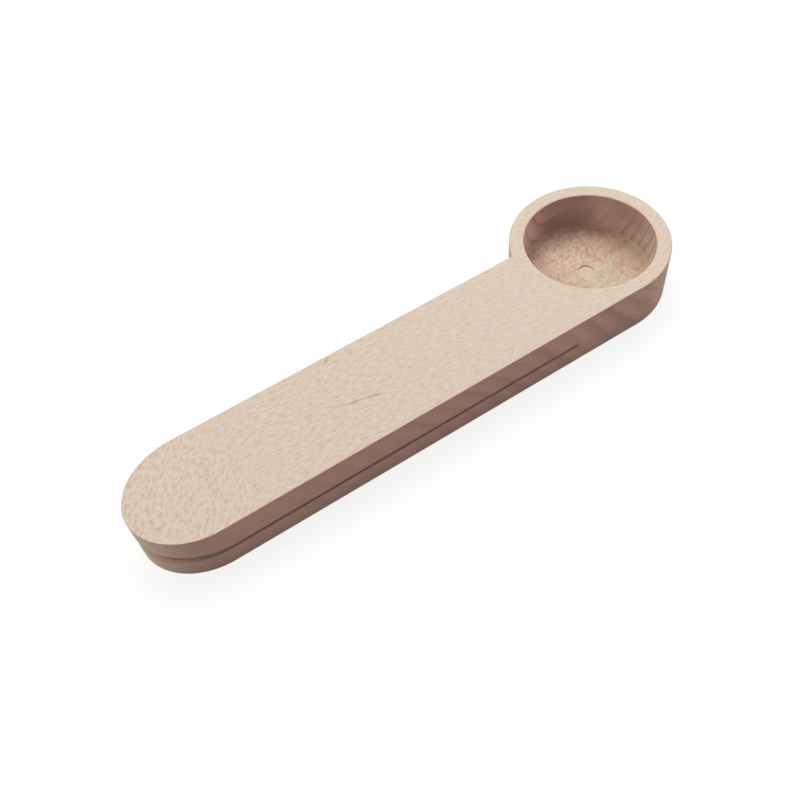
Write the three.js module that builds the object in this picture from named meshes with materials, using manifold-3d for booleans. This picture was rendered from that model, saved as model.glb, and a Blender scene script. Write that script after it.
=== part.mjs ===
// Wooden coffee scoop whose handle is sawn lengthwise into a springy bag clip.
// Millimetres, +Z up. +X runs from the tail to the head, +Y to the side where the head stands out.
// The origin is on the underside, below the middle of the whole outline.
import * as THREE from 'three';
import { mergeVertices } from 'three/addons/utils/BufferGeometryUtils.js';
import Module from 'manifold-3d';

const wasm = await Module();
wasm.setup();

// Handle: parallel sides and a half-elliptical tail
const HANDLE_WIDTH = 32;
const TAIL_REACH = 19;
const TAIL_TO_HEAD = 133;

// Layers of the blank, from the underside up
const LOWER_JAW = 6.1;
const KERF = 1.2;
const UPPER_JAW = 8.7;

// Head: a flat-floored bore with a wall around it and a dimple from the cutter's centre point
const BOWL_DIAMETER = 38.5;
const BOWL_WALL = 4.35;
const BOWL_FLOOR = 3.2;
const DIMPLE_DIAMETER = 4.5;
const DIMPLE_DEPTH = 0.6;

// Saw cut: the wood left between its blind end and the bore, and the lead-in slopes at its mouth
const KERF_WEB = 3.3;
const UPPER_MOUTH_LENGTH = 20;
const UPPER_MOUTH_RISE = 2.3;
const LOWER_MOUTH_LENGTH = 11;
const LOWER_MOUTH_DROP = 1.8;

// Clearance between the head and the root of each jaw
const SEAM = 0.3;

// How far a cutter reaches past the face that it cuts
const OVERCUT = 1;

// Facets in a full turn, and in the tail's half turn
const TURN_SEGMENTS = 96;
const TAIL_SEGMENTS = 48;

// Places that follow from the sizes above
const HALF_WIDTH = HANDLE_WIDTH / 2;
const THICKNESS = LOWER_JAW + KERF + UPPER_JAW;
const BOWL_RADIUS = BOWL_DIAMETER / 2;
const HEAD_RADIUS = BOWL_RADIUS + BOWL_WALL;
const TIP_X = -(TAIL_REACH + TAIL_TO_HEAD + HEAD_RADIUS) / 2;
const TAIL_X = TIP_X + TAIL_REACH;
const HEAD_X = TAIL_X + TAIL_TO_HEAD;
const KERF_END_X = HEAD_X - BOWL_RADIUS - KERF_WEB;
const JAW_ROOT_X = KERF_END_X - SEAM;
const UPPER_JAW_Z = LOWER_JAW + KERF;
// The handle's near edge runs on into the head as its tangent.
const HANDLE_Y = HALF_WIDTH - HEAD_RADIUS;

// Turns a closed three.js geometry into a solid that can be joined and cut.
function toSolid(geometry) {
  geometry.deleteAttribute('normal');
  geometry.deleteAttribute('uv');
  const merged = mergeVertices(geometry);
  return new wasm.Manifold(new wasm.Mesh({
    numProp: 3,
    vertProperties: new Float32Array(merged.attributes.position.array),
    triVerts: new Uint32Array(merged.index.array),
  }));
}

// Turns a solid back into a geometry with one flat normal for each facet.
function toGeometry(solid) {
  const { vertProperties, triVerts } = solid.getMesh();
  const indexed = new THREE.BufferGeometry();
  indexed.setAttribute('position', new THREE.BufferAttribute(vertProperties, 3));
  indexed.setIndex(new THREE.BufferAttribute(triVerts, 1));
  const geometry = indexed.toNonIndexed();
  geometry.computeVertexNormals();
  return geometry;
}

// A block between two X places that is centred on the handle and as thick as the blank.
function handleBlock(fromX, toX, width, overcut) {
  const geometry = new THREE.BoxGeometry(toX - fromX, width, THICKNESS + 2 * overcut);
  geometry.translate((fromX + toX) / 2, HANDLE_Y, THICKNESS / 2);
  return toSolid(geometry);
}

// The outside of the head, a disc as thick as the blank.
function headDisc() {
  const geometry = new THREE.CylinderGeometry(HEAD_RADIUS, HEAD_RADIUS, THICKNESS, TURN_SEGMENTS);
  geometry.rotateX(Math.PI / 2);
  geometry.translate(HEAD_X, 0, THICKNESS / 2);
  return toSolid(geometry);
}

// The space that the bowl and its dimple take up, turned about the head's axis.
function bowlSpace() {
  const dimpleRadius = DIMPLE_DIAMETER / 2;
  const dimpleFloor = BOWL_FLOOR - DIMPLE_DEPTH;
  const mouth = THICKNESS + OVERCUT;
  const profile = [
    new THREE.Vector2(0, dimpleFloor),
    new THREE.Vector2(dimpleRadius, dimpleFloor),
    new THREE.Vector2(dimpleRadius, BOWL_FLOOR),
    new THREE.Vector2(BOWL_RADIUS, BOWL_FLOOR),
    new THREE.Vector2(BOWL_RADIUS, mouth),
    new THREE.Vector2(0, mouth),
  ];
  const geometry = new THREE.LatheGeometry(profile, TURN_SEGMENTS);
  geometry.rotateX(Math.PI / 2);
  geometry.translate(HEAD_X, 0, 0);
  return toSolid(geometry);
}

// Head and neck: the disc runs into a neck as wide as the handle, which ends at the saw cut.
function scoopHead() {
  const neck = handleBlock(KERF_END_X, HEAD_X, HANDLE_WIDTH, 0);
  const jawRoom = handleBlock(TIP_X, KERF_END_X, HANDLE_WIDTH + 2 * SEAM, OVERCUT);
  return headDisc().subtract(jawRoom).add(neck).subtract(bowlSpace());
}

// A layer of the handle from the root of the jaws to the tip of the tail.
function jawLayer(bottom, thickness) {
  const outline = new THREE.Shape();
  outline.moveTo(JAW_ROOT_X, HANDLE_Y - HALF_WIDTH);
  outline.lineTo(JAW_ROOT_X, HANDLE_Y + HALF_WIDTH);
  outline.lineTo(TAIL_X, HANDLE_Y + HALF_WIDTH);
  outline.absellipse(TAIL_X, HANDLE_Y, TAIL_REACH, HALF_WIDTH, Math.PI / 2, 1.5 * Math.PI, false, 0);
  outline.closePath();
  const geometry = new THREE.ExtrudeGeometry(outline, {
    depth: thickness,
    bevelEnabled: false,
    curveSegments: TAIL_SEGMENTS,
  });
  geometry.translate(0, 0, bottom);
  return toSolid(geometry);
}

// The wedge that comes off a jaw's inner face, so that a bag finds its way into the saw cut.
// It rises from the face at height z by so much at the tip, or falls if the rise is negative.
function mouthWedge(z, length, rise) {
  const slope = rise / length;
  const overcut = Math.sign(rise) * OVERCUT;
  const width = HANDLE_WIDTH + 2 * OVERCUT;
  const side = new THREE.Shape();
  side.moveTo(TIP_X + length + overcut / slope, -overcut);
  side.lineTo(TIP_X - OVERCUT, rise + OVERCUT * slope);
  side.lineTo(TIP_X - OVERCUT, -overcut);
  side.closePath();
  const geometry = new THREE.ExtrudeGeometry(side, { depth: width, bevelEnabled: false });
  geometry.rotateX(Math.PI / 2);
  geometry.translate(0, HANDLE_Y + width / 2, z);
  return toSolid(geometry);
}

// Pale beech, sanded and left bare
function beech() {
  return new THREE.MeshStandardMaterial({ color: 0xdecfbe, roughness: 0.6, metalness: 0 });
}

function addPiece(group, name, solid) {
  const mesh = new THREE.Mesh(toGeometry(solid), beech());
  mesh.name = name;
  group.add(mesh);
}

const upperMouth = mouthWedge(UPPER_JAW_Z, UPPER_MOUTH_LENGTH, UPPER_MOUTH_RISE);
const lowerMouth = mouthWedge(LOWER_JAW, LOWER_MOUTH_LENGTH, -LOWER_MOUTH_DROP);

const scoop = new THREE.Group();
addPiece(scoop, 'scoop_head', scoopHead());
addPiece(scoop, 'upper_jaw', jawLayer(UPPER_JAW_Z, UPPER_JAW).subtract(upperMouth));
addPiece(scoop, 'lower_jaw', jawLayer(0, LOWER_JAW).subtract(lowerMouth));

export default scoop;
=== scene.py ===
"""Looks of a wooden coffee scoop whose handle is sawn lengthwise into a springy bag clip.

Metres, +Z up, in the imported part's own frame. The scoop is one piece of beech, so the head and the two jaws
meet without a mark at the blind end of the saw cut, and each jaw bends from there when the clip opens.
"""

import math

import bmesh
import bpy
from mathutils import Matrix, Vector, noise


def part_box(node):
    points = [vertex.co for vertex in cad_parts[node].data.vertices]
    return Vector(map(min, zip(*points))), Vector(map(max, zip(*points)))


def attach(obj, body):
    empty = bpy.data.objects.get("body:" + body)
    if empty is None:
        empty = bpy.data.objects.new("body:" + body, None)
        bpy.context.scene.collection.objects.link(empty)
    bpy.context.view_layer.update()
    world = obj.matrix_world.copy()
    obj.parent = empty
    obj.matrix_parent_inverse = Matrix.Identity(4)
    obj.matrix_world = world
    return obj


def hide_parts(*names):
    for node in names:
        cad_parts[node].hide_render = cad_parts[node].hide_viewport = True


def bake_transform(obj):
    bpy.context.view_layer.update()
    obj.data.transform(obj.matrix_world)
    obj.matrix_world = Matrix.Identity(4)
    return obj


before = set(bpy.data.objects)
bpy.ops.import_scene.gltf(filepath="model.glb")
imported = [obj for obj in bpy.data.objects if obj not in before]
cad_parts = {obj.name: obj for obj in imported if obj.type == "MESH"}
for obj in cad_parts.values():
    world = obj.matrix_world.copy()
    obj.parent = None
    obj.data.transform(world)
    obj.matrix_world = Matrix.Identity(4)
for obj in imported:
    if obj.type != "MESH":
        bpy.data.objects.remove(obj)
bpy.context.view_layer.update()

MM = 0.001

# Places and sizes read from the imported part
head_low, head_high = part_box("scoop_head")
upper_low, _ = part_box("upper_jaw")
lower_low, lower_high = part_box("lower_jaw")
TOP = head_high.z
HEAD_RADIUS = (head_high.y - head_low.y) / 2
HEAD_X = head_high.x - HEAD_RADIUS
HEAD_Y = (head_low.y + head_high.y) / 2
HALF_WIDTH = (lower_high.y - lower_low.y) / 2
HANDLE_Y = (lower_low.y + lower_high.y) / 2
TIP_X = lower_low.x
ROOT_X = head_low.x
LOWER_TOP = lower_high.z
UPPER_BOTTOM = upper_low.z

# Sizes that the frame's boxes don't give
TAIL_REACH = 19 * MM
BOWL_RADIUS = 19.25 * MM
BOWL_FLOOR = 3.2 * MM
DIMPLE_RADIUS = 2.25 * MM
DIMPLE_DEPTH = 0.6 * MM
UPPER_MOUTH_LENGTH = 20 * MM
UPPER_MOUTH_RISE = 2.3 * MM
LOWER_MOUTH_LENGTH = 11 * MM
LOWER_MOUTH_DROP = 1.8 * MM

# Eased edges: the sanded outer edges, the saw cut's lips, the bowl's rim, its floor's corner and the dimple
EDGE = 0.25 * MM
LIP = 0.12 * MM
LEAST_LIP = 0.02 * MM
LIP_FADE = 5 * MM
RIM = 0.3 * MM
FLOOR_CORNER = 0.8 * MM
DIMPLE_EDGE = 0.35 * MM

# Torn end grain on the bowl's floor: its depth, how far from an edge it fades, and its two layers of noise,
# each with its waves per millimetre along X and Y and its place in the noise
TORN_DEPTH = 0.16 * MM
TORN_FADE = 1 * MM
TORN_WIDE = (0.75, 0.95, 3.0)
TORN_FINE = (1.7, 2.1, 9.0)
FINE_SHARE = 0.5

# Mesh spacing
SPAN = 2.5 * MM
TAIL_STEPS = 44
CROSS_STEPS = 12
WALL_STEPS = 5
EDGE_STEPS = 4
HEAD_STEP = 0.5 * MM
FLOOR_STEP = 0.4 * MM
TOP_STEPS = 6
DIMPLE_RINGS = (0.7, 0.4)
SHARP_ANGLE = math.radians(50)

# Places that follow from the sizes above
TAIL_X = TIP_X + TAIL_REACH
FAR_Y = HANDLE_Y + HALF_WIDTH
NEAR_Y = HANDLE_Y - HALF_WIDTH

# Colours of the wood, some with the share of them that shows where they are strongest

# Level faces, with their flecks and dark grain marks
CREAM = (0.73, 0.635, 0.545, 1)
TAN = (0.625, 0.445, 0.30, 1)
GRAIN_MARK = (0.47, 0.245, 0.13, 1)
LEVEL_BAND_SHARE = 0.06

# Sides
SIDE = (0.715, 0.58, 0.475, 1)
SIDE_BAND = (0.53, 0.415, 0.335, 1)
SIDE_LINE = (0.51, 0.39, 0.315, 1)
SIDE_LINE_SHARE = 0.3
UNDER_EDGE = (0.66, 0.38, 0.27, 1)
UNDER_EDGE_SHARE = 0.5

# Bowl's wall, and how much its ring lines fade at the far right and on the left. A lighter tone low on the
# right is painted bounce light, and the broad far band is partly a growth band and partly painted shade
WALL = (0.75, 0.58, 0.53, 1)
WALL_RIGHT = (0.52, 0.355, 0.28, 1)
WALL_LEFT = (0.83, 0.57, 0.53, 1)
WALL_NEAR = (0.70, 0.56, 0.455, 1)
# Painted bounce light: a lighter tone low on the right of the wall
WALL_PAINTED_BOUNCE = (0.92, 0.72, 0.63, 1)
WALL_PAINTED_BOUNCE_SHARE = 0.7
WALL_LINE = (0.42, 0.285, 0.25, 1)
LATE_WOOD_SHARE = 0.82
FAR_RIGHT_FADE = 0.65
LEFT_FADE = 0.4
FINE_LINE_SHARE = 0.25
# Broad far band: partly a darker growth band, partly painted shade where the far wall faces away from the
# lamps
WALL_BAND_AND_SHADE = (0.39, 0.258, 0.25, 1)
WALL_BAND_AND_SHADE_SHARE = 0.72
HIGH_BAND_AND_SHADE_SHARE = 0.5
WALL_BELOW_RIM = (0.48, 0.265, 0.21, 1)
BELOW_RIM_SHARE = 0.42

# Bowl's floor, how crisp its grain is, and how much torn grain there is on average and in the dimple
FLOOR_NEAR = (0.66, 0.585, 0.475, 1)
FLOOR_FAR = (0.775, 0.61, 0.495, 1)
FLOOR_LEFT = (0.62, 0.45, 0.38, 1)
FLOOR_RIGHT = (0.51, 0.285, 0.17, 1)
FLOOR_RIGHT_SHARE = 0.42
FLOOR_TORN = (0.53, 0.30, 0.19, 1)
# Painted light: a lighter tone on the dimple's sloping wall, which lies in shade
DIMPLE_WALL_PAINTED_LIGHT = (0.86, 0.58, 0.50, 1)
CRISP = 0.62
CRISP_FAR = 0.14
CRISP_LEFT = 0.3
CRISP_RIGHT = 0.28
PATCHINESS = 0.6
TORN_SHARE = 0.28
DIMPLE_TORN_SHARE = 0.17

# Saw cut, with painted light at its mouth and painted shade further in, and worn edges
CUT = (0.70, 0.53, 0.50, 1)
# Painted light at the mouth of the saw cut
CUT_MOUTH_PAINTED_LIGHT = (0.90, 0.65, 0.50, 1)
# Painted shade deeper in the saw cut
CUT_PAINTED_SHADE = (0.24, 0.15, 0.14, 1)
CUT_PAINTED_SHADE_SHARE = 0.9
WORN = (0.62, 0.34, 0.21, 1)
WORN_SHARE = 0.7
LEAST_WEAR = 0.3

# Finish of the wood
ROUGHNESS = 0.62
SPECULAR = 0.15
BUMP_STRENGTH = 0.4
BUMP_DISTANCE = 0.1 * MM
TORN_BUMP = 3.0
HATCH_BUMP = 0.4

# Dark grain marks on the handle, in millimetres from the tail's centre and the handle's middle:
# centre, direction in degrees, half length, half width and strength
GRAIN_MARKS = (
    ((46.2, -1.95), -13, 9.0, 0.5, 0.4),
    ((45.6, -1.9), -6, 1.5, 0.6, 0.6),
    ((51.0, -3.1), -14, 2.8, 0.6, 0.6),
    ((46.7, 14.4), 32, 1.8, 0.6, 0.6),
)

# Growth rings: their spacing in millimetres, their lean and twist, how far noise moves them,
# how faint the faintest are, and the fine lines along them
RING_SPACING = 3.0
RING_START = -0.6
RING_LEAN_X = 0.27
RING_LEAN_Z = 0.33
RING_TWIST = 0.006
SIDE_RING_SLANT = 0.012
RING_WOBBLE = 4.0
RING_RIPPLE = 1.2
RING_TONE_STEP = 1.37
FAINT_BAND = 0.35
FAINT_LATE_WOOD = 0.75
RAMP_SHARE = 0.35
LINE_WAVES = 2.6

# Ray flecks, as the least tone and what flecks add at the tail, on the handle and on the head,
# how far noise bends them in millimetres, and how ripples sweep before the neck
TAIL_TONE = 0.15
TAIL_FLECKS = 0.76
HEAD_TONE = 0.12
HEAD_FLECKS = 0.55
HANDLE_FLECKS = 0.17
DASH_SHARE = 0.56
DASH_BEND = 2.5
RIPPLE_BEND = 1.5
SWEEP = 0.002
SWEEP_START = 80.0
PATCH_SHIFT = 30.0

# Places in the noise that keep its uses apart
TORN_LAYER = 4.0
FLOOR_PATCH_LAYER = 6.0
TAIL_PATCH_LAYER = 7.0
CROSSING_LAYER = 30.0

# Stage: a wide white floor just below the scoop, its tints for bounced light, and the fill from all round
STAGE_HALF = 6.0
STAGE_DROP = 0.02 * MM
WHITE = (1, 1, 1, 1)
BLACK = (0, 0, 0, 1)
SHADOW_GREY = (0.18, 0.18, 0.18, 1)
SHADOW_GLOW_LOSS = 0.15
SHADOW_FULL = 0.4
SHADOW_END = 1.0
BOUNCE_NEAR = (0.64, 0.34, 0.35, 1)
BOUNCE_FAR = (0.46, 0.41, 0.365, 1)
BOUNCE_CURVE = 4.0
BOUNCE_BLEND = 0.03
FILL_LIGHT = 0.16
SEEN_RAYS = ("Is Camera Ray", "Is Glossy Ray", "Is Transmission Ray")

# The photograph's view, from a fit of the scoop's edges, with angles in degrees and the lens in millimetres
PICTURE_PIXELS = 800
CAMERA_PLACE = Vector((-76.42, -142.86, 208.82)) * MM
CAMERA_AZIMUTH = -26.73
CAMERA_ELEVATION = 53.70
CAMERA_ROLL = -7.47
CAMERA_LENS = 41.05
FILM_WIDTH = 36
CLIP_START = 0.01


class Skin:
    """The points and faces of one piece, built row by row."""

    def __init__(self):
        self.points = []
        self.flat = []
        self.wear = []
        self.faces = []

    def row(self, points, flat=0.0, wear=0.0):
        """Adds points on a wall, flat 0, or on a level face, flat 1, and gives their numbers."""
        first = len(self.points)
        self.points.extend(points)
        self.flat.extend([flat] * len(points))
        self.wear.extend([wear] * len(points))
        return list(range(first, len(self.points)))

    def strip(self, a, b, closed=False):
        """Joins two rows of the same length with four-sided faces."""
        last = len(a) if closed else len(a) - 1
        for i in range(last):
            j = (i + 1) % len(a)
            self.faces.append((a[i], a[j], b[j], b[i]))

    def fan(self, centre, row, closed=False):
        """Joins a row to one point with triangles."""
        last = len(row) if closed else len(row) - 1
        for i in range(last):
            self.faces.append((centre, row[i], row[(i + 1) % len(row)]))

    def piece(self, name, material):
        """Makes the mesh object.

        The material reads where each point lies in the blank, how level it is and how worn.
        """
        mesh = bpy.data.meshes.new(name)
        mesh.from_pydata(self.points, [], self.faces)
        place = mesh.attributes.new("grain", "FLOAT_VECTOR", "POINT")
        place.data.foreach_set("vector", [c / MM for p in self.points for c in p])
        for kind, values in (("flat", self.flat), ("wear", self.wear)):
            mesh.attributes.new(kind, "FLOAT", "POINT").data.foreach_set("value", values)
        solid = bmesh.new()
        solid.from_mesh(mesh)
        bmesh.ops.recalc_face_normals(solid, faces=solid.faces)
        solid.to_mesh(mesh)
        solid.free()
        mesh.shade_smooth()
        mesh.set_sharp_from_angle(angle=SHARP_ANGLE)
        mesh.materials.append(material)
        made = bpy.data.objects.new(name, mesh)
        bpy.context.scene.collection.objects.link(made)
        weighted = made.modifiers.new("flat faces stay flat", "WEIGHTED_NORMAL")
        weighted.keep_sharp = True
        return made


def steps(start, end, count):
    return [start + (end - start) * i / count for i in range(count + 1)]


def smooth(value):
    t = min(1.0, max(0.0, value))
    return t * t * (3 - 2 * t)


def eased_edge(radius):
    """Inset, drop, flatness and wear along a quarter round, from the level face to the wall."""
    made = []
    for share in steps(0.0, 1.0, EDGE_STEPS):
        t = math.pi / 2 * share
        made.append((radius * (1 - math.sin(t)), radius * (1 - math.cos(t)), 1 - share, math.sin(2 * t)))
    return made


# Handle

def handle_outline():
    """Points of the handle's edge with their inward directions, from the far root round to the near root."""
    straight = round((ROOT_X - TAIL_X) / SPAN)
    far = [((x, FAR_Y), (0.0, -1.0)) for x in steps(ROOT_X, TAIL_X, straight)[:-1]]
    tail = []
    for i in range(2 * TAIL_STEPS + 1):
        t = math.pi / 2 + math.pi * i / (2 * TAIL_STEPS)
        point = (TAIL_X + TAIL_REACH * math.cos(t), HANDLE_Y + HALF_WIDTH * math.sin(t))
        inward = Vector((-HALF_WIDTH * math.cos(t), -TAIL_REACH * math.sin(t))).normalized()
        tail.append((point, tuple(inward)))
    near = [((x, NEAR_Y), (0.0, 1.0)) for x in steps(TAIL_X, ROOT_X, straight)[1:]]
    return far + tail + near


def inset_points(outline, inset, height):
    """The outline moved inwards, where inset and height may change along X."""
    made = []
    for (x, y), (inward_x, inward_y) in outline:
        moved = inset(x)
        moved_x = x + inward_x * moved
        made.append((moved_x, y + inward_y * moved, height(moved_x)))
    return made


def jaw_cap(skin, row):
    """Fills a jaw's flat face between its far and near edges, and returns the edge at the root."""
    tip = len(row) // 2
    lines = []
    for i in range(tip):
        far = Vector(skin.points[row[i]])
        near = Vector(skin.points[row[-1 - i]])
        inner = [tuple(far.lerp(near, k / CROSS_STEPS)) for k in range(1, CROSS_STEPS)]
        lines.append([row[i], *skin.row(inner, 1.0), row[-1 - i]])
    for a, b in zip(lines, lines[1:]):
        skin.strip(a, b)
    skin.fan(row[tip], lines[-1])
    return lines[0]


def jaw(name, material, bottom, top, bottom_edge, top_edge):
    """A jaw between two heights that may change along X, with its own easing at the bottom and the top."""
    outline = handle_outline()
    skin = Skin()
    rows = []
    for inset, drop, flat, wear in eased_edge(1.0):
        points = inset_points(
            outline,
            lambda x: inset * bottom_edge(x),
            lambda x: bottom(x) + drop * bottom_edge(x))
        rows.append(skin.row(points, flat, wear))
    for share in steps(0.0, 1.0, WALL_STEPS)[1:-1]:
        points = inset_points(
            outline,
            lambda x: 0.0,
            lambda x: (bottom(x) + bottom_edge(x)) * (1 - share) + (top(x) - top_edge(x)) * share)
        rows.append(skin.row(points))
    for inset, drop, flat, wear in reversed(eased_edge(1.0)):
        points = inset_points(
            outline,
            lambda x: inset * top_edge(x),
            lambda x: top(x) - drop * top_edge(x))
        rows.append(skin.row(points, flat, wear))
    for a, b in zip(rows, rows[1:]):
        skin.strip(a, b)
    low = jaw_cap(skin, rows[0])
    high = jaw_cap(skin, rows[-1])
    near = [r[-1] for r in rows[1:-1]]
    far = [r[0] for r in rows[1:-1]]
    skin.faces.append((*low, *near, *reversed(high), *reversed(far)))
    return skin.piece(name, material)


def underside(x):
    return 0.0


def top_face(x):
    return TOP


def outer_edge(x):
    return EDGE


def saw_lip(x):
    """The saw cut's lip is eased along the handle, and crisp where it meets the blind end."""
    return LEAST_LIP + (LIP - LEAST_LIP) * smooth((ROOT_X - x) / LIP_FADE)


def upper_mouth(x):
    """The upper jaw's inner face, which rises towards the tip as a lead-in."""
    start = TIP_X + UPPER_MOUTH_LENGTH
    return UPPER_BOTTOM + max(0.0, start - x) * UPPER_MOUTH_RISE / UPPER_MOUTH_LENGTH


def lower_mouth(x):
    """The lower jaw's inner face, which falls towards the tip as a lead-in."""
    start = TIP_X + LOWER_MOUTH_LENGTH
    return LOWER_TOP - max(0.0, start - x) * LOWER_MOUTH_DROP / LOWER_MOUTH_LENGTH


# Head

def head_outline():
    """Points of the head's edge, once round from the near root, with how each moves for one unit of inset."""
    made = []
    near_count = round((HEAD_X - ROOT_X) / HEAD_STEP)
    for x in steps(ROOT_X, HEAD_X, near_count)[:-1]:
        made.append(((x, NEAR_Y), (0.0, 1.0)))
    rise = FAR_Y - HEAD_Y
    corner = math.pi - math.asin(rise / HEAD_RADIUS)
    arc_count = round((corner + math.pi / 2) * HEAD_RADIUS / HEAD_STEP)
    for t in steps(-math.pi / 2, corner, arc_count)[:-1]:
        point = (HEAD_X + HEAD_RADIUS * math.cos(t), HEAD_Y + HEAD_RADIUS * math.sin(t))
        made.append((point, (-math.cos(t), -math.sin(t))))
    corner_x = HEAD_X + HEAD_RADIUS * math.cos(corner)
    moved_x = HEAD_X - math.sqrt((HEAD_RADIUS - EDGE) ** 2 - (rise - EDGE) ** 2)
    made.append(((corner_x, FAR_Y), ((moved_x - corner_x) / EDGE, -1.0)))
    made.append(((ROOT_X, FAR_Y), (0.0, -1.0)))
    seam_count = round((FAR_Y - NEAR_Y) / HEAD_STEP / 2)
    for y in steps(FAR_Y, NEAR_Y, seam_count)[1:-1]:
        made.append(((ROOT_X, y), (0.0, 0.0)))
    return made


def torn_grain(x, y, share):
    """Height of the bowl floor's torn end grain, at a share of its full depth."""
    place = Vector((x, y, 0)) / MM
    wide, fine = (
        noise.noise(Vector((place.x * along, place.y * across, layer)))
        for along, across, layer in (TORN_WIDE, TORN_FINE))
    return share * TORN_DEPTH * (wide + FINE_SHARE * fine)


class HeadSkin(Skin):
    """The head's skin, in rows that go once round, with a point for each point of its outline."""

    def __init__(self):
        super().__init__()
        self.outline = head_outline()
        self.angles = [math.atan2(y - HEAD_Y, x - HEAD_X) for (x, y), _ in self.outline]

    def edge_row(self, inset, z, flat=0.0, wear=0.0):
        """A row along the outline, moved inwards."""
        points = [(x + way_x * inset, y + way_y * inset, z) for (x, y), (way_x, way_y) in self.outline]
        return self.row(points, flat, wear)

    def circle(self, radius):
        return [(HEAD_X + radius * math.cos(t), HEAD_Y + radius * math.sin(t)) for t in self.angles]

    def round_row(self, radius, z, flat=0.0, wear=0.0):
        """A level circle about the head's axis."""
        return self.row([(x, y, z) for x, y in self.circle(radius)], flat, wear)

    def between(self, a, b, share):
        """A row of a level face, part of the way from one row to another."""
        ends = [(Vector(self.points[i]), Vector(self.points[j])) for i, j in zip(a, b)]
        return self.row([tuple(start.lerp(end, share)) for start, end in ends], 1.0)


def outside_rows(skin):
    """The head's side with its eased edges, from the underside up to the top."""
    rows = [skin.edge_row(inset, drop, flat, wear) for inset, drop, flat, wear in eased_edge(EDGE)]
    rows += [skin.edge_row(0.0, z) for z in steps(EDGE, TOP - EDGE, WALL_STEPS)[1:-1]]
    for inset, drop, flat, wear in reversed(eased_edge(EDGE)):
        rows.append(skin.edge_row(inset, TOP - drop, flat, wear))
    return rows


def rim_rows(skin):
    """The bowl's eased rim, from the top down to the wall."""
    rows = []
    for inset, drop, flat, wear in eased_edge(RIM):
        rows.append(skin.round_row(BOWL_RADIUS + inset, TOP - drop, flat, wear))
    return rows


def wall_rows(skin):
    """The bowl's wall and the rounded corner below it, down to the floor."""
    heights = steps(TOP - RIM, BOWL_FLOOR + FLOOR_CORNER, 2 * WALL_STEPS)
    rows = [skin.round_row(BOWL_RADIUS, z) for z in heights[1:]]
    for share in steps(0.0, 1.0, EDGE_STEPS)[1:]:
        t = math.pi / 2 * share
        radius = BOWL_RADIUS - FLOOR_CORNER * (1 - math.cos(t))
        rows.append(skin.round_row(radius, BOWL_FLOOR + FLOOR_CORNER * (1 - math.sin(t)), share))
    return rows


def floor_rows(skin):
    """The bowl's floor with its torn grain, from the corner in to the dimple."""
    rows = []
    outer = BOWL_RADIUS - FLOOR_CORNER
    inner = DIMPLE_RADIUS + DIMPLE_EDGE
    for radius in steps(outer, inner, round((outer - inner) / FLOOR_STEP))[1:-1]:
        fade = smooth((outer - radius) / TORN_FADE) * smooth((radius - inner) / TORN_FADE)
        points = [(x, y, BOWL_FLOOR + torn_grain(x, y, fade)) for x, y in skin.circle(radius)]
        rows.append(skin.row(points, 1.0))
    return rows


def dimple_rows(skin, bottom):
    """The dimple's eased edge, wall and flat bottom."""
    rows = []
    for inset, drop, flat, _ in eased_edge(DIMPLE_EDGE):
        rows.append(skin.round_row(DIMPLE_RADIUS + inset, BOWL_FLOOR - drop, flat))
    rows.append(skin.round_row(DIMPLE_RADIUS, bottom, 1.0))
    rows += [skin.round_row(DIMPLE_RADIUS * share, bottom, 1.0) for share in DIMPLE_RINGS]
    return rows


def scoop_head(name, material):
    """The head with its bowl and neck, and a blind end where the jaws begin."""
    skin = HeadSkin()
    outside = outside_rows(skin)
    rim = rim_rows(skin)
    top = [skin.between(outside[-1], rim[0], share) for share in steps(0.0, 1.0, TOP_STEPS)[1:-1]]
    dimple_floor = BOWL_FLOOR - DIMPLE_DEPTH
    rows = outside + top + rim + wall_rows(skin) + floor_rows(skin) + dimple_rows(skin, dimple_floor)
    for a, b in zip(rows, rows[1:]):
        skin.strip(a, b, closed=True)
    centre = skin.row([(HEAD_X, HEAD_Y, dimple_floor)], 1.0)
    skin.fan(centre[0], rows[-1], closed=True)

    under = skin.row([(HEAD_X, HEAD_Y, 0.0)], 1.0)
    middle = skin.between(outside[0], under * len(skin.outline), 0.5)
    skin.strip(middle, outside[0], closed=True)
    skin.fan(under[0], middle, closed=True)
    return skin.piece(name, material)


# Materials

class Value:
    """What a node gives out, with plain arithmetic where it is a number."""

    def __init__(self, nodes, socket):
        self.nodes = nodes
        self.socket = socket

    def __add__(self, other):
        return self.nodes.math("ADD", self, other)

    def __sub__(self, other):
        return self.nodes.math("SUBTRACT", self, other)

    def __rsub__(self, other):
        return self.nodes.math("SUBTRACT", other, self)

    def __mul__(self, other):
        return self.nodes.math("MULTIPLY", self, other)

    __radd__ = __add__
    __rmul__ = __mul__

    def ease(self, low, high):
        """0 below low, 1 above high and a smooth step between, or the other way round if low is higher."""
        limits = (low, high, 0.0, 1.0) if low < high else (high, low, 1.0, 0.0)
        settings = {"interpolation_type": "SMOOTHSTEP"}
        return self.nodes.make("ShaderNodeMapRange", self, *limits, settings=settings)


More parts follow.
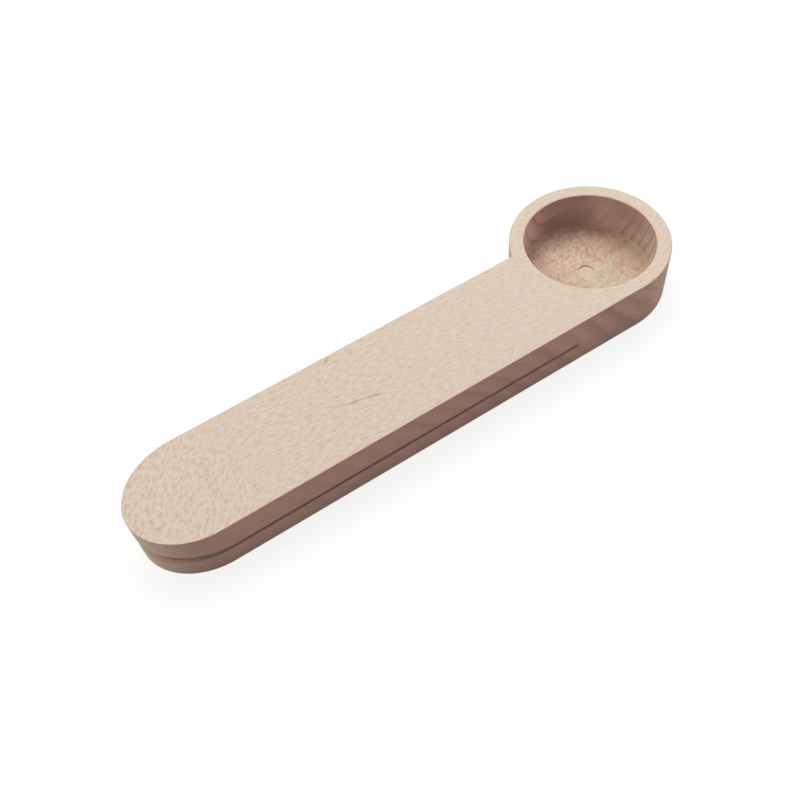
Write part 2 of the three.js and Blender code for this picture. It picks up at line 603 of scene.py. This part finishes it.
class Nodes:
    """Short calls that make a material's nodes and link them."""

    def __init__(self, tree):
        self.tree = tree

    def make(self, kind, *values, settings=None, output=0, **named):
        """One output of a new node, which is fed in the order of its inputs or by their names."""
        made = self.tree.nodes.new(kind)
        for name, value in (settings or {}).items():
            setattr(made, name, value)
        for socket, value in zip(made.inputs, values):
            self.feed(socket, value)
        for name, value in named.items():
            self.feed(made.inputs[name], value)
        return Value(self, made.outputs[output])

    def feed(self, socket, value):
        """Links a value to a socket, or sets the socket to a plain number or colour."""
        if isinstance(value, Value):
            self.tree.links.new(value.socket, socket)
        else:
            socket.default_value = value

    def math(self, operation, *values):
        return self.make("ShaderNodeMath", *values, settings={"operation": operation})

    def larger(self, a, b):
        return self.math("MAXIMUM", a, b)

    def smaller(self, a, b):
        return self.math("MINIMUM", a, b)

    def length(self, x, y):
        return self.math("SQRT", x * x + y * y)

    def mix(self, share, a, b):
        """The colour that lies a share of the way from one colour to another."""
        made = self.tree.nodes.new("ShaderNodeMix")
        made.data_type = "RGBA"
        for name, value in (("Factor_Float", share), ("A_Color", a), ("B_Color", b)):
            self.feed(next(s for s in made.inputs if s.identifier == name), value)
        return Value(self, next(s for s in made.outputs if s.identifier == "Result_Color"))

    def attribute(self, name, output):
        return self.make("ShaderNodeAttribute", settings={"attribute_name": name}, output=output)

    def parts(self, vector):
        """The three coordinates of a place."""
        split = self.make("ShaderNodeSeparateXYZ", vector).socket.node
        return [Value(self, socket) for socket in split.outputs]

    def noise(self, x, y, z, detail, roughness=0.5):
        place = self.make("ShaderNodeCombineXYZ", x, y, z)
        return self.make("ShaderNodeTexNoise", Vector=place, Scale=1.0, Detail=detail, Roughness=roughness)


class Place:
    """Where a point of the blank lies, in millimetres, and how level the surface is there.

    X counts along the handle from the tail's centre, Y across from its middle and Z up from the top face.
    bowl_x, bowl_y and reach count from the bowl's centre.
    """

    def __init__(self, nodes):
        x, y, z = nodes.parts(nodes.attribute("grain", "Vector"))
        self.flat = nodes.attribute("flat", "Fac")
        self.x = x - TAIL_X / MM
        self.y = y - HANDLE_Y / MM
        self.z = z - TOP / MM
        self.bowl_x = self.x + (TAIL_X - HEAD_X) / MM
        self.bowl_y = self.y + (HANDLE_Y - HEAD_Y) / MM
        self.reach = nodes.length(self.bowl_x, self.bowl_y)

    def waves(self, along, across, up):
        """The place counted in waves, with so many per millimetre each way."""
        return along * self.x, across * self.y, up * self.z

    def bowl_share(self, degrees):
        """How far a point lies from the bowl's centre in a direction, as a share of the bowl's radius."""
        towards, _ = turned(self.bowl_x, self.bowl_y, degrees)
        return towards * (MM / BOWL_RADIUS)


def turned(x, y, degrees):
    """The two coordinates along and across a direction."""
    cosine = math.cos(math.radians(degrees))
    sine = math.sin(math.radians(degrees))
    return cosine * x + sine * y, cosine * y - sine * x


def drawn_out(nodes, x, y, layer, degrees, along, across, detail, roughness=0.5):
    """Noise drawn out in a direction, with so many waves per millimetre along it and across it."""
    lengthwise, crosswise = turned(x, y, degrees)
    return nodes.noise(along * lengthwise, across * crosswise, layer, detail, roughness)


def streak(nodes, at, centre, degrees, half_length, half_width):
    """A thin spindle-shaped mark on the level faces."""
    along, across = turned(at.x - centre[0], at.y - centre[1], degrees)
    far = nodes.math("ABSOLUTE", along * (1 / half_length))
    off = nodes.math("ABSOLUTE", across * (1 / half_width))
    return far.ease(1.0, 0.3) * off.ease(1.0, 0.1)


def ray_flecks(nodes, at):
    """Ray flecks on the level faces: woven dashes at the tail, and fine ripples towards the head."""
    bend = nodes.noise(*at.waves(0.2, 0.2, 0.2), detail=1.0)
    waved = at.y + DASH_BEND * bend
    dashes = drawn_out(nodes, at.x, waved, 0.5 * at.z, degrees=50, along=0.5, across=1.2, detail=1.0)
    layer = at.z + CROSSING_LAYER
    crossing = drawn_out(nodes, at.x, waved, layer, degrees=8, along=0.6, across=1.2, detail=1.0)
    woven = DASH_SHARE * dashes + (1 - DASH_SHARE) * crossing
    tail = TAIL_TONE + TAIL_FLECKS * woven.ease(0.41, 0.68)

    before_neck = nodes.smaller(at.x - SWEEP_START, 0.0)
    swept = at.y + RIPPLE_BEND * bend + SWEEP * before_neck * before_neck
    ripples = drawn_out(nodes, at.x, swept, at.z, degrees=-10, along=0.45, across=1.65, detail=1.5)
    strength = HEAD_FLECKS + HANDLE_FLECKS * at.x.ease(110.0, 30.0)
    head = HEAD_TONE + strength * ripples.ease(0.32, 0.78)

    patch = nodes.noise(0.15 * at.x, 0.15 * at.y, TAIL_PATCH_LAYER, detail=1.0)
    near_tail = (at.x + PATCH_SHIFT * patch).ease(40.0, 20.0)
    return near_tail * tail + (1.0 - near_tail) * head


def growth_rings(nodes, at, slant):
    """How far each place lies through its ring, from 0 to 1, how strong the ring is, and its fine lines.

    Slant is how much more the rings lean with each millimetre past the head's centre.
    """
    wobble = nodes.noise(*at.waves(0.02, 0.05, 0.06), detail=2.0)
    ripple = nodes.noise(*at.waves(0.13, 0.13, 0.2), detail=1.0)
    past_head = nodes.larger(at.bowl_x, 0.0)
    lean = RING_LEAN_X * at.bowl_x - RING_TWIST * at.bowl_x * at.y + slant * past_head * at.z
    straight = at.y + RING_LEAN_Z * at.z + lean
    depth = straight + RING_WOBBLE * wobble + RING_RIPPLE * ripple + RING_START
    count = depth * (1 / RING_SPACING)
    tone = nodes.noise(RING_TONE_STEP * nodes.math("FLOOR", count), 0.0, 0.0, detail=0.0)
    lines = nodes.noise(LINE_WAVES * depth, 0.1 * at.x, 0.1 * at.z, detail=2.0, roughness=0.6)
    return nodes.math("FRACT", count), tone.ease(0.3, 0.65), lines.ease(0.35, 0.7)


def level_color(nodes, at, fleck, bands):
    """The level faces: cream with tan flecks, and dark grain marks on the handle."""
    color = nodes.mix(fleck, CREAM, TAN)
    color = nodes.mix(LEVEL_BAND_SHARE * bands, color, TAN)
    marks = 0.0
    for centre, degrees, half_length, half_width, strength in GRAIN_MARKS:
        mark = strength * streak(nodes, at, centre, degrees, half_length, half_width)
        marks = nodes.larger(marks, mark)
    return nodes.mix(marks, color, GRAIN_MARK)


def side_color(nodes, at, bands, lines, hatch):
    """The sides: growth bands that grow stronger towards the head, fine lines, and a warm top edge."""
    towards_head = at.x.ease(-20.0, 120.0)
    under_edge = at.z.ease(-0.9, -0.2)
    color = nodes.mix(bands * towards_head, SIDE, SIDE_BAND)
    color = nodes.mix(SIDE_LINE_SHARE * hatch.ease(0.3, 0.75), color, SIDE_LINE)
    color = nodes.mix(SIDE_LINE_SHARE * lines, color, SIDE_LINE)
    return nodes.mix(UNDER_EDGE_SHARE * under_edge, color, UNDER_EDGE)


def wall_color(nodes, at, late_wood, lines):
    """The bowl's wall: ring lines that fade at the far right and on the left, painted bounce light that
    lightens it low on the right, a broad far band that is partly a growth band and partly painted shade, and
    a darker, redder tone towards the rim except at the left.
    """
    right_end = at.bowl_x.ease(14.0, 20.0)
    left_half = at.bowl_x.ease(0.0, -12.0)
    near_half = at.bowl_y.ease(2.0, -8.0)
    # Painted bounce light: lighter low down on the right of the wall
    painted_bounce_low_right = at.z.ease(-4.5, -11.0) * at.bowl_x.ease(0.0, 10.0)
    color = nodes.mix(right_end, WALL, WALL_RIGHT)
    color = nodes.mix(left_half, color, WALL_LEFT)
    color = nodes.mix(near_half, color, WALL_NEAR)
    color = nodes.mix(WALL_PAINTED_BOUNCE_SHARE * painted_bounce_low_right, color, WALL_PAINTED_BOUNCE)

    far_right = at.bowl_share(50).ease(0.75, 0.95)
    left_end = at.bowl_x.ease(-4.0, -14.0)
    late_wood = late_wood * (LATE_WOOD_SHARE - FAR_RIGHT_FADE * far_right) * (1.0 - LEFT_FADE * left_end)
    color = nodes.mix(late_wood, color, WALL_LINE)
    color = nodes.mix(FINE_LINE_SHARE * lines, color, WALL_LINE)

    # Painted shade, partly also a growth band: a broad darker band on the far wall, strongest low down
    far_side = at.bowl_share(72).ease(0.8, 1.0)
    lower = at.z.ease(-3.0, -8.0)
    band = far_side * (HIGH_BAND_AND_SHADE_SHARE + (1 - HIGH_BAND_AND_SHADE_SHARE) * lower)
    below_rim = at.z.ease(-6.0, -0.5) * at.bowl_x.ease(-12.0, -4.0)
    color = nodes.mix(WALL_BAND_AND_SHADE_SHARE * band, color, WALL_BAND_AND_SHADE)
    return nodes.mix(BELOW_RIM_SHARE * below_rim, color, WALL_BELOW_RIM)


def floor_color(nodes, at, torn):
    """The bowl's floor: torn end grain, crisper at the sides and far off, and even in the dimple, with
    painted light on the dimple's shaded wall.
    """
    patchy = nodes.noise(0.2 * at.x, 0.25 * at.y, FLOOR_PATCH_LAYER, detail=1.0)
    rough = (torn + PATCHINESS * (patchy - 0.5)).ease(0.30, 0.77)
    left = at.bowl_x.ease(-2.0, -13.0)
    right = at.bowl_x.ease(2.0, 16.0)
    far = at.bowl_y.ease(-2.0, 9.0)
    past_dimple = at.reach.ease(2.0, 3.0)
    crisp = past_dimple * (CRISP + CRISP_FAR * far + CRISP_LEFT * left + CRISP_RIGHT * right)
    plain = DIMPLE_TORN_SHARE + (TORN_SHARE - DIMPLE_TORN_SHARE) * past_dimple
    rough = plain + crisp * (rough - TORN_SHARE)

    pale = nodes.mix(far, FLOOR_NEAR, FLOOR_FAR)
    pale = nodes.mix(left, pale, FLOOR_LEFT)
    color = nodes.mix(rough, pale, FLOOR_TORN)
    color = nodes.mix(FLOOR_RIGHT_SHARE * right, color, FLOOR_RIGHT)
    # Painted light on the dimple's shaded wall
    dimple_wall_painted_light = at.reach.ease(4.0, 3.5) * (1.0 - at.flat)
    return nodes.mix(dimple_wall_painted_light, color, DIMPLE_WALL_PAINTED_LIGHT)


def cut_color(nodes, at, sawn):
    """The saw cut's faces: pale at the mouth from painted light, pale along the edge, and darkened further in
    by painted shade.
    """
    past_tail = nodes.smaller(at.x, 0.0) * (MM / TAIL_REACH)
    aside = at.y * (MM / HALF_WIDTH)
    from_edge = (1.0 - nodes.length(past_tail, aside)) * (HALF_WIDTH / MM)
    # Painted shade deeper in the cut, away from the edge and past the tail's end
    further_in = from_edge.ease(0.8, 1.9) * at.x.ease(-16.5, -13.5)
    # Painted light at the mouth
    past_mouth = at.x.ease(-12.0, -8.0)
    color = nodes.mix(past_mouth, CUT_MOUTH_PAINTED_LIGHT, CUT)
    return nodes.mix(CUT_PAINTED_SHADE_SHARE * sawn * further_in, color, CUT_PAINTED_SHADE)


def edge_wear(nodes, at, cut_level):
    """How worn the eased edges are: most along the near edge and the bowl's rim, and not in the saw cut."""
    near_edge = at.y.ease(0.0, -14.0)
    bowl_rim = at.reach.ease(21.5, 20.5)
    handled = nodes.larger(near_edge, bowl_rim)
    wear = nodes.attribute("wear", "Fac") * (1.0 - cut_level)
    return wear * (LEAST_WEAR + (1 - LEAST_WEAR) * handled)


def beech():
    """Bare sanded beech: growth rings through the solid, ray flecks on its faces, torn grain in the bowl."""
    material = bpy.data.materials.new("beech")
    material.use_nodes = True
    shader = material.node_tree.nodes["Principled BSDF"]
    nodes = Nodes(material.node_tree)
    at = Place(nodes)

    # Where the surface lies: on the bowl's floor, on its wall or in the saw cut
    bore = BOWL_RADIUS / MM
    above_underside = at.z.ease(-14.2, -13.8)
    below_top = at.z.ease(0.0, -0.3)
    bored = at.reach.ease(bore + 0.2, bore) * above_underside * below_top
    by_dimple = at.reach.ease(5.0, 4.0)
    level = nodes.larger(at.flat, by_dimple)
    bowl_floor = bored * level
    bowl_wall = bored * (1.0 - level)
    outside_bowl = at.reach.ease(22.0, 22.3)
    above_lower_slope = at.z.ease(-12.2, -12.0)
    below_upper_slope = at.z.ease(-6.0, -6.2)
    cut_level = above_lower_slope * below_upper_slope * outside_bowl
    sawn = at.flat * cut_level

    # Growth bands on the sides, ring lines on the bowl's wall, flecks, fine hatching and torn grain
    ring, tone, side_lines = growth_rings(nodes, at, SIDE_RING_SLANT)
    bands = ring.ease(0.1, 0.75) * ring.ease(1.0, 0.75) * (FAINT_BAND + (1 - FAINT_BAND) * tone)
    ring, tone, wall_lines = growth_rings(nodes, at, 0.0)
    late_wood = RAMP_SHARE * ring.ease(0.0, 0.9) + (1 - RAMP_SHARE) * ring.ease(0.62, 0.92)
    late_wood = late_wood * ring.ease(1.0, 0.92) * (FAINT_LATE_WOOD + (1 - FAINT_LATE_WOOD) * tone)
    fleck = ray_flecks(nodes, at)
    hatch = drawn_out(
        nodes, at.x, at.z, 0.8 * at.y, degrees=-50, along=0.5, across=1.4, detail=2.5, roughness=0.65)
    torn = drawn_out(nodes, at.x, at.y, TORN_LAYER, degrees=18, along=0.62, across=1.05, detail=2.0)

    side = side_color(nodes, at, bands, side_lines, hatch)
    color = nodes.mix(at.flat, side, level_color(nodes, at, fleck, bands))
    color = nodes.mix(bowl_wall, color, wall_color(nodes, at, late_wood, wall_lines))
    color = nodes.mix(bowl_floor, color, floor_color(nodes, at, torn))
    color = nodes.mix(sawn, color, cut_color(nodes, at, sawn))
    color = nodes.mix(WORN_SHARE * edge_wear(nodes, at, cut_level), color, WORN)
    height = TORN_BUMP * torn * bowl_floor - fleck * at.flat - HATCH_BUMP * hatch
    bump = nodes.make("ShaderNodeBump", Height=height, Strength=BUMP_STRENGTH, Distance=BUMP_DISTANCE)

    nodes.feed(shader.inputs["Base Color"], color)
    nodes.feed(shader.inputs["Normal"], bump)
    shader.inputs["Roughness"].default_value = ROUGHNESS
    shader.inputs["Specular IOR Level"].default_value = SPECULAR
    return material


# Light and camera

def seen_share(nodes):
    """1 where the camera looks straight or through a mirror or glass, and 0 for light that bounces."""
    straight, mirrored, through = (nodes.make("ShaderNodeLightPath", output=ray) for ray in SEEN_RAYS)
    return nodes.larger(nodes.larger(straight, mirrored), through)


def stage_material():
    """White to the eye, with a soft shadow, and a dull warm table to the light that bounces off it."""
    material = bpy.data.materials.new("floor")
    material.use_nodes = True
    tree = material.node_tree
    tree.nodes.remove(tree.nodes["Principled BSDF"])
    nodes = Nodes(tree)
    place = nodes.make("ShaderNodeNewGeometry", output="Position")
    x, y, _ = nodes.parts(place)
    beyond = (y + BOUNCE_CURVE * x * x).ease(-BOUNCE_BLEND, BOUNCE_BLEND)
    bounce = nodes.make("ShaderNodeBsdfDiffuse", Color=nodes.mix(beyond, BOUNCE_NEAR, BOUNCE_FAR))

    distance = nodes.make("ShaderNodeVectorMath", place, settings={"operation": "LENGTH"}, output="Value")
    near = distance.ease(SHADOW_END, SHADOW_FULL)
    shade = nodes.make("ShaderNodeBsdfDiffuse", Color=nodes.mix(near, BLACK, SHADOW_GREY))
    glow = nodes.make("ShaderNodeEmission", Color=WHITE, Strength=1.0 - SHADOW_GLOW_LOSS * near)
    white = nodes.make("ShaderNodeAddShader", shade, glow)
    either = nodes.make("ShaderNodeMixShader", seen_share(nodes), bounce, white)
    nodes.feed(tree.nodes["Material Output"].inputs["Surface"], either)
    return material


def lay_floor():
    corners = [(x * STAGE_HALF, y * STAGE_HALF, 0) for x, y in ((-1, -1), (1, -1), (1, 1), (-1, 1))]
    mesh = bpy.data.meshes.new("floor")
    mesh.from_pydata(corners, [], [(0, 1, 2, 3)])
    mesh.materials.append(stage_material())
    made = bpy.data.objects.new("floor", mesh)
    bpy.context.scene.collection.objects.link(made)
    made.location.z = -STAGE_DROP


def light_world():
    """White behind the scoop, and a dim even fill for the light that reaches it."""
    made = bpy.data.worlds.new("studio")
    made.use_nodes = True
    nodes = Nodes(made.node_tree)
    background = made.node_tree.nodes["Background"]
    background.inputs["Color"].default_value = WHITE
    nodes.feed(background.inputs["Strength"], FILL_LIGHT + (1 - FILL_LIGHT) * seen_share(nodes))
    bpy.context.scene.world = made


def soft_light(name, azimuth, elevation, distance, size, power):
    """A square lamp that faces the scoop from a direction, in degrees, where azimuth 0 is +X and 90 is +Y."""
    data = bpy.data.lights.new(name, "AREA")
    data.size = size
    data.energy = power
    light = bpy.data.objects.new(name, data)
    bpy.context.scene.collection.objects.link(light)
    turn = math.radians(azimuth)
    rise = math.radians(elevation)
    towards = Vector((math.cos(turn) * math.cos(rise), math.sin(turn) * math.cos(rise), math.sin(rise)))
    light.location = distance * towards
    light.rotation_euler = towards.to_track_quat("Z", "Y").to_euler()


def place_camera():
    """The photograph's own view."""
    azimuth = math.radians(CAMERA_AZIMUTH)
    elevation = math.radians(CAMERA_ELEVATION)
    roll = math.radians(CAMERA_ROLL)
    data = bpy.data.cameras.new("camera")
    data.sensor_width = FILM_WIDTH
    data.lens = CAMERA_LENS
    camera = bpy.data.objects.new("camera", data)
    bpy.context.scene.collection.objects.link(camera)
    back = Vector((
        math.sin(azimuth) * math.cos(elevation),
        -math.cos(azimuth) * math.cos(elevation),
        math.sin(elevation)))
    level = Vector((math.cos(azimuth), math.sin(azimuth), 0))
    rise = back.cross(level)
    right = math.cos(roll) * level + math.sin(roll) * rise
    up = math.cos(roll) * rise - math.sin(roll) * level
    turn = Matrix((right, up, back)).transposed().to_4x4()
    camera.matrix_world = Matrix.Translation(CAMERA_PLACE) @ turn
    # The fit counts from pixel centres, and the camera from the picture's edge.
    half_pixel = 0.5 / PICTURE_PIXELS
    data.shift_x = -half_pixel
    data.shift_y = half_pixel
    data.clip_start = CLIP_START
    bpy.context.scene.camera = camera


bpy.context.scene.view_settings.view_transform = "Standard"
place_camera()
light_world()
lay_floor()
soft_light("far right", azimuth=55, elevation=60, distance=1.2, size=1.0, power=11.1)
soft_light("far left", azimuth=125, elevation=60, distance=1.2, size=1.0, power=4.0)
soft_light("left", azimuth=163, elevation=10, distance=1.3, size=0.5, power=3.95)
soft_light("right", azimuth=340, elevation=25, distance=0.5, size=0.35, power=0.34)

wood = beech()
head = scoop_head("beech_head", wood)
upper = jaw("beech_upper_jaw", wood, upper_mouth, top_face, saw_lip, outer_edge)
lower = jaw("beech_lower_jaw", wood, underside, lower_mouth, outer_edge, saw_lip)

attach(head, "head")
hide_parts("scoop_head")
for piece, body in ((upper, "upper_jaw"), (lower, "lower_jaw")):
    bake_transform(piece)
    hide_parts(body)
